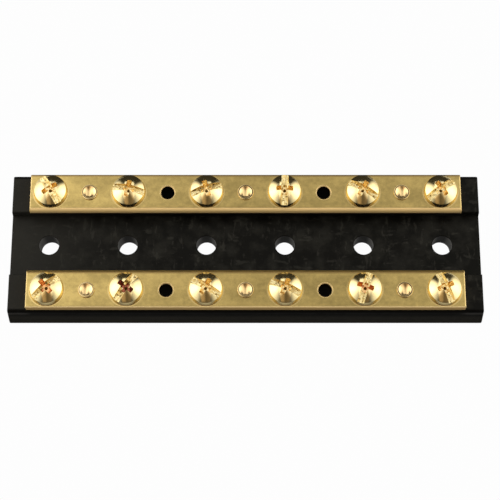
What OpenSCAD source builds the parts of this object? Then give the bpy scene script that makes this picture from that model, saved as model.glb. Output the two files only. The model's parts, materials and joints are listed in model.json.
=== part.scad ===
// Double bus-bar terminal block: two brass bars riveted to the rails of a moulded base,
// with a row of combination-head terminal screws tapped into each bar.
// The underside of the base lies on Z = 0, X runs along the bars and +Y is the rear row.

/* [Layout] */
// Number of terminal screws along each bar
ways = 6; // [2:1:8]
// Distance between neighbouring terminal screws
pitch = 19.05; // [17:0.05:24]

/* [Base] */
// Height of the rails above the underside
base_h = 7.94; // [7.4:0.02:12]
// Thickness of the floor between the rails
floor_t = 5.16; // [3:0.02:6.5]
// Width of the channel between the rails
channel_w = 15.88; // [12:0.02:24]
// Width of each rail at its top
rail_w = 9.53; // [9.4:0.01:14]
// Distance from the axis of an end screw to the end of the base
base_end = 9.53; // [8:0.01:16]
// Slope of the outer walls, so that the moulding leaves its tool
draft = 4; // [0.5:0.5:7]
// Radius along the outer top edge of each rail
rail_edge_r = 0.8; // [0.3:0.05:1]
// Radius along the top edges of the channel
inner_edge_r = 0.3; // [0.1:0.05:0.4]
// Radius along the long bottom edges
foot_edge_r = 0.2; // [0.1:0.05:1]
// Distance from the axis of an end mounting hole to the end of the base
mount_end = 9.03; // [6:0.01:14]
// Distance of the mounting holes from the middle of the channel, towards the rear
mount_y = 0.4; // [0:0.05:1]
// Diameter of the mounting holes in the floor
mount_hole_d = 4.8; // [3:0.1:6]

/* [Bus bars] */
// Width of a bar
bar_w = 9.53; // [9:0.01:9.9]
// Thickness of a bar
bar_t = 2.38; // [1.6:0.02:3.2]
// Distance from the axis of an end screw to the end of the bar
bar_end = 5; // [4.4:0.05:7.5]
// How far a bar stands out over the channel
bar_lap = 0.53; // [0.2:0.01:0.7]
// Distance from the axes of the screws to the outer edge of a bar
bar_margin = 4.5; // [4.4:0.05:4.7]
// Radius along the two edges of a bar that face the channel
bar_inner_r = 1.15; // [0.3:0.05:1.15]
// Radius along the outer edge and the ends of a bar
bar_outer_r = 0.35; // [0.1:0.05:0.6]
// Width of the broken edge round an open hole
hole_break = 0.2; // [0.05:0.05:0.4]

/* [Terminal screws] */
// Outside diameter of the thread
screw_d = 4.1; // [3:0.05:4.6]
// Length of the shank under the head
screw_l = 6.35; // [4.5:0.05:7]
// Diameter of the head
head_d = 8.3; // [7.8:0.05:8.6]
// Height of the head above the bar
head_h = 2.85; // [2.4:0.05:3.4]
// Height of the upright rim of the head
head_rim_h = 0.35; // [0.2:0.05:0.8]
// Diameter of the dome where it meets the sloping side of the head
crown_d = 7.7; // [6.6:0.05:7.7]
// Height at which the dome meets the sloping side
crown_z = 1.3; // [1:0.05:1.6]
// Height of the chamfer at the tip of the shank
tip_chamfer = 0.5; // [0.2:0.05:0.8]
// Width of the slot across the head
slot_w = 1.7; // [0.8:0.05:2]
// Depth of the slot at the crown of the head
slot_depth = 1.8; // [0.8:0.05:2]
// Span of the cross recess at the crown
recess_span = 4.7; // [3.5:0.05:5.5]
// Span of the cross recess at its floor
recess_floor_span = 2; // [1.2:0.05:2.8]
// Width of each wing of the cross recess at the crown
wing_w = 1.25; // [0.9:0.05:1.6]
// Width of each wing of the cross recess at its floor
wing_floor_w = 0.85; // [0.5:0.05:1.2]
// Depth of the cross recess at the crown
recess_depth = 2.3; // [1.4:0.05:2.6]
// Diameter of the pit in the floor of the recess
pit_d = 1; // [0.5:0.05:1.2]
// Depth of the pit below the floor of the recess
pit_depth = 0.35; // [0.1:0.05:0.6]
// Angle of each slot in the front row, seen from above
front_slot_angles = [42, 55, 150, 157, 72, 113];
// Angle of each slot in the rear row, seen from above
rear_slot_angles = [123, 169, 17, 88, 151, 35];

/* [Rivets] */
// Diameter of a rivet's shank
rivet_d = 3.15; // [2:0.05:3.4]
// Diameter of the head that grips the bar
rivet_head_d = 4.05; // [3.8:0.05:5]
// Height of the head's rim above the bar
rivet_head_h = 0.4; // [0.3:0.05:0.7]
// Radius along the outer edge of the rim
rivet_rim_r = 0.25; // [0.1:0.05:0.28]
// Diameter of the dish that the punch left in the head
dish_d = 3.05; // [2:0.05:3.3]
// Depth of the dish below the rim
dish_depth = 0.42; // [0.2:0.02:0.9]
// Distance of the rivets from the line of the screws, towards the front
rivet_shift = 0.2; // [0:0.05:0.4]
// Diameter of the head under the base
rivet_foot_d = 5.4; // [4.6:0.05:6]
// Thickness of the head under the base
rivet_foot_h = 0.9; // [0.5:0.05:1.3]

/* [Clearances] */
// Room round the thread in the bar, each side
thread_room = 0.05; // [0.02:0.01:0.1]
// Room round the shank in the base, each side
shank_room = 0.3; // [0.1:0.05:0.5]
// Room under the tip of the shank
tip_room = 0.8; // [0.4:0.1:1.2]
// Room round a rivet's shank, each side
rivet_room = 0.08; // [0.05:0.01:0.2]
// Room round the head in its recess under the base, each side
foot_room = 0.5; // [0.3:0.05:0.8]
// Depth of the underside below a rivet's head
foot_sink = 0.7; // [0.4:0.05:1]

/* [Hidden] */
$fn = 48;
// How far a cut runs past the face that it opens
cut = 1;
// How far a corner cut reaches outside the outline that it rounds
corner_lap = 0.05;

base_l = (ways - 1) * pitch + 2 * base_end;
base_w = channel_w + 2 * rail_w;
mount_pitch = (base_l - 2 * mount_end) / (ways - 1);
foot_spread = base_h * tan(draft);
bar_l = (ways - 1) * pitch + 2 * bar_end;
bar_y = channel_w / 2 - bar_lap + bar_w / 2;
row_y = bar_y + bar_w / 2 - bar_margin;
bar_top = base_h + bar_t;
thread_hole_r = screw_d / 2 + thread_room;
shank_hole_r = screw_d / 2 + shank_room;
shank_hole_z = bar_top - screw_l - tip_room;
rivet_hole_r = rivet_d / 2 + rivet_room;
foot_hole_r = rivet_foot_d / 2 + foot_room;
foot_hole_h = rivet_foot_h + foot_sink;
crown_rise = head_h - crown_z;

rivet_gaps = [for (i = [0 : ways - 2]) if (i % 2 == 0) i];
open_gaps = [for (i = [0 : ways - 2]) if (i % 2 == 1) i];
screw_ids = [for (i = [0 : ways - 1]) i];
rivet_ids = [for (i = [0 : len(rivet_gaps) - 1]) i];
ROWS = ["front", "rear"];

BRASS_BAR = [0.74, 0.62, 0.36];
BRASS_SCREW = [0.9, 0.76, 0.42];
BRASS_RIVET = [0.8, 0.67, 0.38];
BLACK_BASE = [0.1, 0.1, 0.1];

function screw_x(i) = (i - (ways - 1) / 2) * pitch;
function mount_x(i) = (i - (ways - 1) / 2) * mount_pitch;
function gap_x(i) = screw_x(i) + pitch / 2;
function side(row) = row == "rear" ? 1 : -1;
function slot_angle(row, i) =
    let (angles = row == "rear" ? rear_slot_angles : front_slot_angles) angles[i % len(angles)];
function unit(v) = v / norm(v);
// Radius of the sphere whose cap has this radius and rise
function cap_r(a, rise) = (a * a + rise * rise) / (2 * rise);

// What is left over when the corner at p, between a and b, is rounded to radius r
module corner_cut(a, p, b, r) {
    u = unit(a - p);
    v = unit(b - p);
    half = acos(u * v) / 2;
    inward = unit(u + v);
    centre = p + inward * r / sin(half);
    reach = r / tan(half);
    difference() {
        polygon([p - inward * corner_lap, p + u * reach, centre, p + v * reach]);
        translate(centre) circle(r);
    }
}

// Outline with a radius at each corner, where radii[i] is 0 for a sharp one
module rounded_outline(points, radii) {
    n = len(points);
    difference() {
        polygon(points);
        for (i = [0 : n - 1]) {
            if (radii[i] > 0) {
                corner_cut(points[(i + n - 1) % n], points[i], points[(i + 1) % n], radii[i]);
            }
        }
    }
}

// Solid of constant Y-Z section, centred along X
module along_x(length) {
    rotate([90, 0, 90]) translate([0, 0, -length / 2]) linear_extrude(length) children();
}

// Solid of constant X-Z section, centred along Y
module along_y(length) {
    rotate([90, 0, 0]) translate([0, 0, -length / 2]) linear_extrude(length) children();
}

module base_section() {
    foot = base_w / 2 + foot_spread;
    rounded_outline(
        [
            [-foot, 0], [foot, 0], [base_w / 2, base_h], [channel_w / 2, base_h],
            [channel_w / 2, floor_t], [-channel_w / 2, floor_t], [-channel_w / 2, base_h],
            [-base_w / 2, base_h]
        ],
        [foot_edge_r, foot_edge_r, rail_edge_r, inner_edge_r, 0, 0, inner_edge_r, rail_edge_r]
    );
}

module base_side_view() {
    foot = base_l / 2 + foot_spread;
    polygon([[-foot, 0], [foot, 0], [base_l / 2, base_h], [-base_l / 2, base_h]]);
}

module base() {
    color(BLACK_BASE)
    difference() {
        intersection() {
            along_x(base_l + 2 * foot_spread + cut) base_section();
            along_y(base_w + 2 * foot_spread + cut) base_side_view();
        }
        for (i = screw_ids) {
            translate([mount_x(i), mount_y, -cut]) cylinder(d = mount_hole_d, h = floor_t + 2 * cut);
        }
        for (row = ROWS) {
            translate([0, side(row) * row_y, 0]) base_row_holes();
        }
    }
}

// Holes in one rail: blind under the screws, through at every rivet place, and recessed where
// a rivet's head lies under it
module base_row_holes() {
    for (i = screw_ids) {
        translate([screw_x(i), 0, shank_hole_z]) cylinder(r = shank_hole_r, h = screw_l + cut);
    }
    for (i = concat(rivet_gaps, open_gaps)) {
        translate([gap_x(i), -rivet_shift, -cut]) cylinder(r = rivet_hole_r, h = base_h + 2 * cut);
    }
    for (i = rivet_gaps) {
        translate([gap_x(i), -rivet_shift, -cut]) cylinder(r = foot_hole_r, h = foot_hole_h + cut);
    }
}

// Bar of one row, with the rounder of its long edges towards the channel
module bus_bar(row) {
    color(BRASS_BAR)
    translate([0, side(row) * row_y, base_h])
    difference() {
        intersection() {
            along_x(bar_l + cut) mirror([row == "rear" ? 0 : 1, 0]) bar_section();
            along_y(3 * bar_w) bar_side_view();
        }
        for (i = screw_ids) {
            translate([screw_x(i), 0, -cut]) cylinder(r = thread_hole_r, h = bar_t + 2 * cut);
        }
        for (i = rivet_gaps) {
            translate([gap_x(i), -rivet_shift, -cut]) cylinder(r = rivet_hole_r, h = bar_t + 2 * cut);
        }
        for (i = open_gaps) {
            translate([gap_x(i), -rivet_shift, 0]) open_hole();
        }
    }
}

// Section of a rear bar about the axes of its screws, with the channel at the left
module bar_section() {
    inner = bar_margin - bar_w;
    rounded_outline(
        [[inner, 0], [bar_margin, 0], [bar_margin, bar_t], [inner, bar_t]],
        [bar_inner_r, 0, bar_outer_r, bar_inner_r]
    );
}

module bar_side_view() {
    rounded_outline(
        [[-bar_l / 2, 0], [bar_l / 2, 0], [bar_l / 2, bar_t], [-bar_l / 2, bar_t]],
        [0, 0, bar_outer_r, bar_outer_r]
    );
}

// Rivet hole that was left empty, with its top edge broken
module open_hole() {
    rotate_extrude() polygon([
        [0, -cut], [rivet_hole_r, -cut], [rivet_hole_r, bar_t - hole_break],
        [rivet_hole_r + hole_break, bar_t], [rivet_hole_r + hole_break, bar_t + cut],
        [0, bar_t + cut]
    ]);
}

// Screw with its head's seat on Z = 0 and its slot along X
module screw_solid() {
    difference() {
        union() {
            screw_head();
            translate([0, 0, -screw_l]) screw_shank();
        }
        translate([-head_d, -slot_w / 2, head_h - slot_depth]) cube([2 * head_d, slot_w, head_h]);
        cross_recess();
    }
}

// Pan head: an upright rim, a side that slopes in, and a dome
module screw_head() {
    dome_r = cap_r(crown_d / 2, crown_rise);
    rotate_extrude()
    intersection() {
        polygon([
            [0, 0], [head_d / 2, 0], [head_d / 2, head_rim_h], [crown_d / 2, crown_z],
            [crown_d / 2, head_h], [0, head_h]
        ]);
        translate([0, head_h - dome_r]) circle(dome_r);
    }
}

module screw_shank() {
    cylinder(r1 = screw_d / 2 - tip_chamfer, r2 = screw_d / 2, h = tip_chamfer);
    translate([0, 0, tip_chamfer]) cylinder(d = screw_d, h = screw_l - tip_chamfer);
}

// Four wings that taper towards the floor of the recess, with a conical pit in its middle
module cross_recess() {
    taper = (recess_span - recess_floor_span) / 2 / recess_depth;
    translate([0, 0, head_h - recess_depth]) {
        intersection() {
            cylinder(
                r1 = recess_floor_span / 2,
                r2 = recess_span / 2 + taper * cut,
                h = recess_depth + cut
            );
            union() {
                for (turn = [0, 90]) {
                    rotate(turn) along_x(2 * recess_span) wing_section();
                }
            }
        }
        translate([0, 0, -pit_depth]) cylinder(r1 = 0, r2 = pit_d / 2, h = pit_depth);
    }
}

module wing_section() {
    lean = (wing_w - wing_floor_w) / 2 / recess_depth;
    top = wing_w / 2 + lean * cut;
    high = recess_depth + cut;
    polygon([[-wing_floor_w / 2, 0], [wing_floor_w / 2, 0], [top, high], [-top, high]]);
}

module terminal_screw(row, i) {
    color(BRASS_SCREW)
    translate([screw_x(i), side(row) * row_y, bar_top])
    rotate(slot_angle(row, i))
    screw_solid();
}

// Rivet with its head on Z = 0, dished by the punch, and formed over in the recess under the base
module rivet_solid() {
    foot_z = foot_hole_h - bar_top;
    rotate_extrude() rivet_section(foot_z);
}

// Half section of a rivet, from the underside of its foot to the rim of its head
module rivet_section(foot_z) {
    foot_r = rivet_foot_d / 2;
    shank_r = rivet_d / 2;
    head_r = rivet_head_d / 2;
    dish_r = cap_r(dish_d / 2, dish_depth);
    foot_low = foot_z - rivet_foot_h;
    difference() {
        rounded_outline(
            [
                [0, foot_low], [foot_r, foot_low], [foot_r, foot_z], [shank_r, foot_z],
                [shank_r, 0], [head_r, 0], [head_r, rivet_head_h], [0, rivet_head_h]
            ],
            [0, 0, 0, 0, 0, 0, rivet_rim_r, 0]
        );
        translate([0, rivet_head_h - dish_depth + dish_r]) circle(dish_r);
    }
}

module rivet(row, i) {
    color(BRASS_RIVET)
    translate([gap_x(rivet_gaps[i]), side(row) * row_y - rivet_shift, bar_top])
    rivet_solid();
}

base();
for (row = ROWS) {
    bus_bar(row);
    for (i = screw_ids) {
        terminal_screw(row, i);
    }
    for (i = rivet_ids) {
        rivet(row, i);
    }
}
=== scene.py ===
# %% [markdown]
# # A double bus-bar terminal block
# Two flat brass bars are riveted to the rails of a black moulded base, and six brass screws clamp
# wires to each bar. This lesson dresses the construction model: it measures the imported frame, makes
# each piece again with soft edges and a true finish, and lights the set for a product photograph.

# %% Load the construction frame
import json
import math

import bmesh
import bpy
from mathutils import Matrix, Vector


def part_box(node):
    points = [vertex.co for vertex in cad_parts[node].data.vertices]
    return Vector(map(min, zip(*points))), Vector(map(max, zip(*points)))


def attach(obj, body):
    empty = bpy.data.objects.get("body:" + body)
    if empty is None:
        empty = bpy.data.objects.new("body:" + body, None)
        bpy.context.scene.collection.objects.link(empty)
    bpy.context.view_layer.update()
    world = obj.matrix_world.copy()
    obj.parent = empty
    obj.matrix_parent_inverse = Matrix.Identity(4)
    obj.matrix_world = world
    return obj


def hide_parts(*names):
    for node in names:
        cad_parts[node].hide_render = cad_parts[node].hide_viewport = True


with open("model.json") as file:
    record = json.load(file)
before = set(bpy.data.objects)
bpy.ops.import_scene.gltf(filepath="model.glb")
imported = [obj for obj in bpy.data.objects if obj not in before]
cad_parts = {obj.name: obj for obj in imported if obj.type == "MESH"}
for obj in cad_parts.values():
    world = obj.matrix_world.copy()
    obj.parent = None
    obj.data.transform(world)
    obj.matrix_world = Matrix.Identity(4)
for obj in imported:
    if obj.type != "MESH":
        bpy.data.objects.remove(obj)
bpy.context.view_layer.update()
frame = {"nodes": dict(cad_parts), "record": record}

# %% [markdown]
# ## Sizes come from the frame
# The frame already holds every piece at its real size, so most dimensions are read from its boxes.
# Only what a box can't tell, such as a radius or the depth of a slot, is written here, in metres.

# %% Measure the frame
MM = 0.001
ROWS = ("front", "rear")
SIDE = {"front": -1, "rear": 1}
WAYS = sum(name.startswith("rear_screw_") for name in frame["nodes"])
RIVETS = sum(name.startswith("rear_rivet_") for name in frame["nodes"])


def middle(node):
    """Centre of a node's box."""
    low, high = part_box(node)
    return (low + high) / 2


base_low, base_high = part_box("base")
_, bar_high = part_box("rear_bus_bar")
screw_low, screw_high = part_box("rear_screw_1")
rivet_low, rivet_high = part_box("rear_rivet_1")
mount_holes = [mount for mount in frame["record"]["mounts"] if mount["kind"] == "bore"]

rail_top = base_high.z
seat_z = bar_high.z
row_y = middle("rear_screw_1").y
first_screw_x = middle("rear_screw_1").x
pitch = middle("rear_screw_2").x - first_screw_x
first_gap_x = middle("rear_rivet_1").x
gap_y = {row: middle(f"{row}_rivet_1").y for row in ROWS}
head_r = (screw_high.x - screw_low.x) / 2
# A bore's place is half-way up it, and it starts at the underside.
floor_z = 2 * mount_holes[0]["pos_m"][2]
mount_r = mount_holes[0]["dims"]["r_mm"] * MM
first_mount_x, mount_y, _ = mount_holes[0]["pos_m"]
mount_pitch = mount_holes[1]["pos_m"][0] - first_mount_x
print(f"{WAYS} ways at {pitch / MM:.2f} mm, bar top at {seat_z / MM:.2f} mm")

# %% [markdown]
# ## Nodes written as arithmetic
# Shaders and geometry trees are both node graphs. They could be linked by hand, one node at a time, but
# a small class that wraps a socket lets ordinary Python arithmetic add the Math nodes, and a second
# class adds any other node in one call. The graph then reads like a formula.


# %% Wrap a socket
class Wire:
    """A socket on a board. Arithmetic on it adds Math nodes to that board."""

    def __init__(self, board, socket):
        self.board = board
        self.socket = socket

    def math(self, operation, *values):
        """Result of a Math node on these values."""
        return self.board.add("ShaderNodeMath", {"operation": operation}, dict(enumerate(values)))

    def __add__(self, other):
        return self.math("ADD", self, other)

    def __radd__(self, other):
        return self.math("ADD", other, self)

    def __sub__(self, other):
        return self.math("SUBTRACT", self, other)

    def __rsub__(self, other):
        return self.math("SUBTRACT", other, self)

    def __mul__(self, other):
        return self.math("MULTIPLY", self, other)

    def __rmul__(self, other):
        return self.math("MULTIPLY", other, self)

    def __truediv__(self, other):
        return self.math("DIVIDE", self, other)

    def __rtruediv__(self, other):
        return self.math("DIVIDE", other, self)

    def __lt__(self, other):
        return self.math("LESS_THAN", self, other)

    def __gt__(self, other):
        return self.math("GREATER_THAN", self, other)

    def __abs__(self):
        return self.math("ABSOLUTE", self)


print("sockets take + - * / < > and abs()")


# %% Wrap a node tree
def pick(sockets, key):
    """A socket by its number, its identifier or its name."""
    if isinstance(key, int):
        return sockets[key]
    matches = [socket for socket in sockets if socket.identifier == key]
    return matches[0] if matches else sockets[key]


class Board:
    """A node tree with one method that adds any node to it."""

    def __init__(self, tree):
        self.tree = tree

    def add(self, kind, settings=None, inputs=None, output=0):
        """Add a node, its settings first and then its sockets, and give one of its outputs."""
        node = self.tree.nodes.new(kind)
        for name, value in (settings or {}).items():
            if name == "stops":
                self.set_stops(node.color_ramp.elements, value)
            elif name == "item_count":
                while len(node.index_switch_items) < value:
                    node.index_switch_items.new()
            else:
                setattr(node, name, value)
        for key, value in (inputs or {}).items():
            self.plug(pick(node.inputs, key), value)
        return Wire(self, pick(node.outputs, output)) if node.outputs else node

    def plug(self, socket, value):
        """Set a socket to a value, or link a wire or a list of wires to it."""
        for part in value if isinstance(value, list) else [value]:
            if isinstance(part, Wire):
                self.tree.links.new(part.socket, socket)
            else:
                socket.default_value = part

    def set_stops(self, elements, stops):
        """Give a colour ramp its stops of (position, tone)."""
        while len(elements) < len(stops):
            elements.new(1.0)
        for element, (position, tone) in zip(elements, stops):
            element.position = position
            element.color = (tone, tone, tone, 1.0)

    def vector(self, x, y, z):
        """A vector of three values."""
        return self.add("ShaderNodeCombineXYZ", None, {"X": x, "Y": y, "Z": z})

    def split(self, vector):
        """The three values of a vector."""
        first = self.add("ShaderNodeSeparateXYZ", None, {"Vector": vector})
        return [Wire(self, socket) for socket in first.socket.node.outputs]


print("node trees take any node in one call")

# %% [markdown]
# ## Finishes
# Every finish is procedural and reads Object coordinates in metres, so it stays with its piece. A
# painted image would blur close up, and a formula doesn't. What varies over a surface feeds colour,
# roughness, metal and bump only.


# %% Start a finish
def new_finish(name):
    """An empty material and its board."""
    material = bpy.data.materials.new(name)
    material.use_nodes = True
    material.node_tree.nodes.clear()
    return material, Board(material.node_tree)


def noise(board, where, scale, detail=3.0, roughness=0.55, stretch=None):
    """Noise from 0 to 1, in cells of 1 / scale metres, drawn out where stretch is under 1."""
    if stretch:
        where = board.add("ShaderNodeMapping", None, {"Vector": where, "Scale": stretch})
    values = {"Vector": where, "Scale": scale, "Detail": detail, "Roughness": roughness}
    return board.add("ShaderNodeTexNoise", {"noise_dimensions": "3D"}, values, "Fac")


def own_axes(board, output="Object"):
    """Object coordinates, or the normal, of the piece."""
    return board.add("ShaderNodeTexCoord", output=output)


def close_finish(board, **values):
    """A Principled surface with these socket values, on the material's output."""
    values = {key.replace("_", " "): value for key, value in values.items()}
    surface = board.add("ShaderNodeBsdfPrincipled", None, values)
    board.add("ShaderNodeOutputMaterial", None, {"Surface": surface})


def opaque(colour):
    """A colour with its alpha."""
    return (*colour, 1.0)


print("finishes start empty and end in one surface")


# %% Shape values into masks and colours
def ramp(board, value, *stops):
    """A value passed through stops of (position, tone)."""
    return board.add("ShaderNodeValToRGB", {"stops": stops}, {"Fac": value}, "Color")


def mask(board, value, start, end):
    """0 up to start, and from there up to 1 at end."""
    return ramp(board, value, (start, 0.0), (end, 1.0))


def mix(board, factor, first, second):
    """Colour that goes from first to second with the factor."""
    values = {"Factor_Float": factor, "A_Color": first, "B_Color": second}
    return board.add("ShaderNodeMix", {"data_type": "RGBA"}, values, "Result_Color")


def slope(board, value, start, end, low=0.0, high=1.0):
    """A smooth step from low at start to high at end."""
    values = {"Value": value, "From Min": start, "From Max": end, "To Min": low, "To Max": high}
    return board.add("ShaderNodeMapRange", {"interpolation_type": "SMOOTHSTEP"}, values)


def bump(board, height, relief):
    """Normal of a surface raised by this height field."""
    return board.add("ShaderNodeBump", None, {"Height": height, "Distance": relief}, "Normal")


def distance(x, y):
    """Length of a flat vector."""
    square = x * x + y * y
    return square.math("SQRT", square)


print("masks run from 0 to 1")

# %% [markdown]
# ### Black moulding
# The base is a satin black moulding. Handling leaves paler smudges and short scuffs, which show on the flat
# floor of the channel, and its left end is painted paler as painted light, where the light is stronger. One
# even black would look like a hole in the picture, so a cloudy mask and streaks in two directions lift the
# colour and change the gloss.

# %% Paint the open faces of the base
CLOUDS = {"scale": 260.0, "detail": 4.0, "roughness": 0.6}
SCUFFS = {"scale": 900.0, "detail": 5.0, "roughness": 0.65, "stretch": (0.9, 0.3, 1.0)}
RUBS = {"scale": 800.0, "detail": 4.0, "roughness": 0.65, "stretch": (0.3, 0.8, 1.0)}
SMUDGE_RANGE = (0.42, 0.72)
SCUFF_RANGE = (0.58, 0.64)
RUB_RANGE = (0.6, 0.66)
PALE_SHARE = 0.7
CLEAN_BLACK = (0.0014, 0.0013, 0.0009)
SCUFFED_BLACK = (0.0172, 0.0163, 0.0131)
LEFT_LIT_BLACK = (0.019, 0.018, 0.015)


def open_faces(board, where):
    """Colour of the open faces, the smudges and scuffs in it, and painted light at the left end."""
    smudge = mask(board, noise(board, where, **CLOUDS), *SMUDGE_RANGE)
    scuffs = noise(board, where, **SCUFFS)
    rubs = noise(board, where, **RUBS)
    scuff = mask(board, scuffs, *SCUFF_RANGE) + mask(board, rubs, *RUB_RANGE)
    pale = smudge * PALE_SHARE + scuff * PALE_SHARE
    colour = mix(board, pale, opaque(CLEAN_BLACK), opaque(SCUFFED_BLACK))
    x = board.split(where)[0]
    # Painted light: the left end of the base is painted paler, where the light is stronger.
    left_light = slope(board, x, first_screw_x + pitch, base_low.x, high=PALE_SHARE)
    return mix(board, left_light, colour, opaque(LEFT_LIT_BLACK)), smudge, scuffs


smudge_mm = 1 / CLOUDS["scale"] / MM
print(f"open faces: smudges about {smudge_mm:.1f} mm wide")

# %% [markdown]
# The side faces are a little paler than the floor, and the rounded edge of each rail and the top of its
# outer face are painted black as painted shade, with a short painted highlight along the edge at its ends.
# A small spot in the channel is stained, and the walls of the mounting holes carry a painted reflection at
# their left and right. Each of these is a mask on place.

# %% Paint the rails, the stain and the holes
BLACK = (0.0003, 0.0003, 0.0002)
SIDE_BLACK = (0.0128, 0.0122, 0.01)
RAIL_HIGHLIGHT_BLACK = (0.02, 0.019, 0.017)
HOLE_REFLECTION_GREY = (0.08, 0.078, 0.073)
SIDE_DOWN = 4 * MM
EDGE_DOWN = 1.8 * MM
EDGE_START = 0.5 * MM
EDGE_END = 0.1 * MM
HIGHLIGHT_DOWN = 1.25 * MM
HIGHLIGHT_W = 0.8 * MM
HIGHLIGHT_BEFORE = 1.5 * MM
HIGHLIGHT_PAST = 1 * MM
STAIN_X = -16.1 * MM
STAIN_Y = -3.8 * MM
STAIN_R = 0.8 * MM
STAIN_SHARE = 0.9
HOLE_SKIN = 0.05 * MM
FLANK_FACING = (0.3, 0.8)


def rail_sides(board, colour, x, y, z):
    """Pale sides, painted shade on the edges, and a painted highlight line past the ends of the bars."""
    high_up = slope(board, z, rail_top - SIDE_DOWN, rail_top - EDGE_DOWN)
    outside = slope(board, abs(y), bar_high.y - EDGE_START, bar_high.y - EDGE_END)
    colour = mix(board, outside * (1 - high_up), colour, opaque(SIDE_BLACK))
    # Painted shade: the rounded edge and the top of the outer faces are painted black.
    colour = mix(board, outside * high_up, colour, opaque(BLACK))
    # Painted highlight: a paler line along the rail's edge past the ends of the bars.
    past_bar = slope(board, abs(x), bar_high.x - HIGHLIGHT_BEFORE, bar_high.x + HIGHLIGHT_PAST)
    off_line = z - (rail_top - HIGHLIGHT_DOWN)
    highlight_line = slope(board, abs(off_line), HIGHLIGHT_W, HIGHLIGHT_W / 4)
    return mix(board, outside * past_bar * highlight_line, colour, opaque(RAIL_HIGHLIGHT_BLACK))


def stain_and_holes(board, colour, x, y):
    """The stained spot, and a painted reflection on the left and right flanks of the mounting holes."""
    from_stain = distance(x - STAIN_X, y - STAIN_Y)
    stained = slope(board, from_stain, STAIN_R, STAIN_R / 3, high=STAIN_SHARE)
    colour = mix(board, stained, colour, opaque(BLACK))
    along = x.math("PINGPONG", x - first_mount_x, mount_pitch / 2)
    in_hole = distance(along, y - mount_y) < mount_r + HOLE_SKIN
    facing_x = board.split(own_axes(board, "Normal"))[0]
    # Painted reflection: the hole walls that face left and right are painted grey.
    return mix(board, in_hole * slope(board, abs(facing_x), *FLANK_FACING), colour, opaque(HOLE_REFLECTION_GREY))


print(f"rails: black edges {EDGE_DOWN / MM:.1f} mm high, stain {2 * STAIN_R / MM:.1f} mm wide")

# %% Paint the base
MOULD_GRAIN = {"scale": 3600.0, "detail": 2.0}
MOULD_RELIEF = 0.02 * MM
MOULD_ROUGHNESS = 0.36
SMUDGE_DULL = 0.14
GRAIN_DULL = 0.06
MOULD_SPECULAR = 0.09
MOULD_TINT = (1.0, 0.97, 0.86)


def black_moulding():
    """The whole finish of the base."""
    material, board = new_finish("black_moulding")
    where = own_axes(board)
    x, y, z = board.split(where)
    grain = noise(board, where, **MOULD_GRAIN)
    colour, smudge, scuffs = open_faces(board, where)
    colour = rail_sides(board, colour, x, y, z)
    colour = stain_and_holes(board, colour, x, y)
    close_finish(
        board,
        Base_Color=colour,
        Roughness=MOULD_ROUGHNESS + smudge * SMUDGE_DULL + grain * GRAIN_DULL,
        Specular_IOR_Level=MOULD_SPECULAR,
        Specular_Tint=opaque(MOULD_TINT),
        Normal=bump(board, grain + scuffs * 0.5, MOULD_RELIEF),
    )
    return material


base_finish = black_moulding()
print("finish:", base_finish.name)

# %% [markdown]
# ### Turned brass
# The screws and rivets are bright brass. One even colour would look like foil, so darker patches lie in the
# metal and a fine grain breaks its gloss. One function makes all three finishes from a colour and a
# roughness, and can paint a thin dark line of painted shade round each rivet's dish.

# %% Mottle the brass
FINE_PATCHES = {"scale": 1000.0, "detail": 3.0, "roughness": 0.65}
SMEARS = {"scale": 240.0, "detail": 3.0, "roughness": 0.6, "stretch": (0.5, 1.0, 1.0)}
FINE_SHARE = 0.4
PATCH_RANGE = (0.38, 0.62)


def brass_tone(board, where, colour, mottle):
    """A colour with darker patches, fine ones and wide smears."""
    fine = noise(board, where, **FINE_PATCHES)
    smears = noise(board, where, **SMEARS)
    patches = mask(board, fine * FINE_SHARE + smears * (1 - FINE_SHARE), *PATCH_RANGE)
    darker = tuple((1 - mottle) * part for part in colour)
    return mix(board, patches, opaque(colour), opaque(darker))


smear_mm = 1 / SMEARS["scale"] / MM
print(f"brass: smears about {smear_mm:.1f} mm wide")

# %% Paint the turned brass
OWN_PLACE = "own_place"
TURNED_GRAIN = {"scale": 1200.0, "detail": 4.0, "roughness": 0.6}
TURNED_MOTTLE = 0.14
TURNED_DULL = 0.05
TURNED_RELIEF = 0.003 * MM
SHADE_LINE_BREAKS = {"scale": 60.0, "detail": 1.0}
SHADE_LINE_STOPS = ((0.3, 0.25), (0.6, 1.0))
SHADE_LINE_R = 1.68 * MM
SHADE_LINE_W = 0.2 * MM
SHADE_LINE_BROWN = (0.06, 0.035, 0.01)


def own_place(board):
    """Each point's place on its own screw or rivet, which the geometry trees store."""
    return board.add("ShaderNodeAttribute", {"attribute_name": OWN_PLACE}, None, "Vector")


def joint_line(board, where, tone):
    """A painted line of shade in brown, broken here and there, round the axis of each copy."""
    x, y, _ = board.split(own_place(board))
    off = distance(x, y) - SHADE_LINE_R
    line = slope(board, abs(off), SHADE_LINE_W, SHADE_LINE_W / 4)
    broken = ramp(board, noise(board, where, **SHADE_LINE_BREAKS), *SHADE_LINE_STOPS)
    # Painted shade: a thin dark line on the rivet's ring, by the edge of its dish.
    return mix(board, line * broken, tone, opaque(SHADE_LINE_BROWN))


def turned_brass(name, colour, roughness, shade_lined=False):
    """Bright brass, with a painted shade line if asked."""
    material, board = new_finish(name)
    where = own_axes(board)
    grain = noise(board, where, **TURNED_GRAIN)
    tone = brass_tone(board, where, colour, TURNED_MOTTLE)
    if shade_lined:
        tone = joint_line(board, where, tone)
    close_finish(
        board,
        Base_Color=tone,
        Metallic=1.0,
        Roughness=roughness + (grain - 0.5) * TURNED_DULL,
        Normal=bump(board, grain, TURNED_RELIEF),
    )
    return material


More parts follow.
